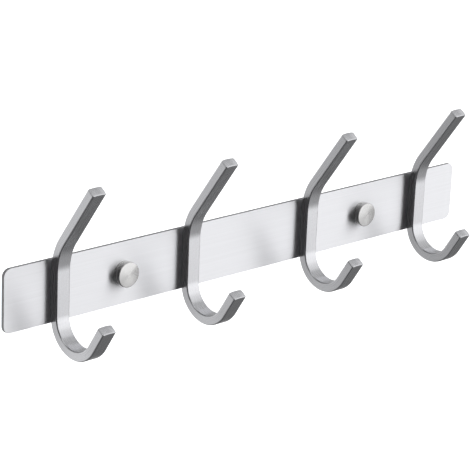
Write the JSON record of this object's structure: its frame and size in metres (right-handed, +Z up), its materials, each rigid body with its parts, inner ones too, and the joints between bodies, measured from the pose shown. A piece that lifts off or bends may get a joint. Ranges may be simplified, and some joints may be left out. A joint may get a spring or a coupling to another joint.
{
  "type": "wall hook rack",
  "caption": "Brushed stainless wall rail with double coat hooks bent from flat bar, each with a leaning upper arm and a lower J, and round screw-on caps over the wall screws.",
  "frame": {"origin": "centre of the rail's back face, on the wall plane", "axes": "+X along the rail, +Y into the wall, +Z up; the hooks stand out towards -Y"},
  "size_m": [0.386, 0.0832, 0.1082],
  "materials": {
    "rail_steel": "long grain brushed along the rail, satin",
    "hook_steel": "brushed along the bar, satin, edges slightly broken",
    "cap_steel": "fine turned face, bright rim",
    "cap_base_steel": "bright turned",
    "screw_steel": "plain stainless, as rolled"
  },
  "bodies": {
    "rail": {"back_plate": "rail_steel", "hook_1": "hook_steel", "hook_1_upper_screw": "screw_steel", "hook_1_lower_screw": "screw_steel", "hook_2": "hook_steel", "hook_2_upper_screw": "screw_steel", "hook_2_lower_screw": "screw_steel", "hook_3": "hook_steel", "hook_3_upper_screw": "screw_steel", "hook_3_lower_screw": "screw_steel", "hook_4": "hook_steel", "hook_4_upper_screw": "screw_steel", "hook_4_lower_screw": "screw_steel", "left_cap_base": "cap_base_steel", "left_wall_screw": "screw_steel", "right_cap_base": "cap_base_steel", "right_wall_screw": "screw_steel"},
    "left_cap": {"left_cap": "cap_steel"},
    "right_cap": {"right_cap": "cap_steel"}
  },
  "joints": [
    {"name": "left_cap_off", "type": "slide", "parent": "rail", "child": "left_cap", "axis": [0, -1, 0], "range_m": [0, 0.012]},
    {"name": "right_cap_off", "type": "slide", "parent": "rail", "child": "right_cap", "axis": [0, -1, 0], "range_m": [0, 0.012]}
  ]
}
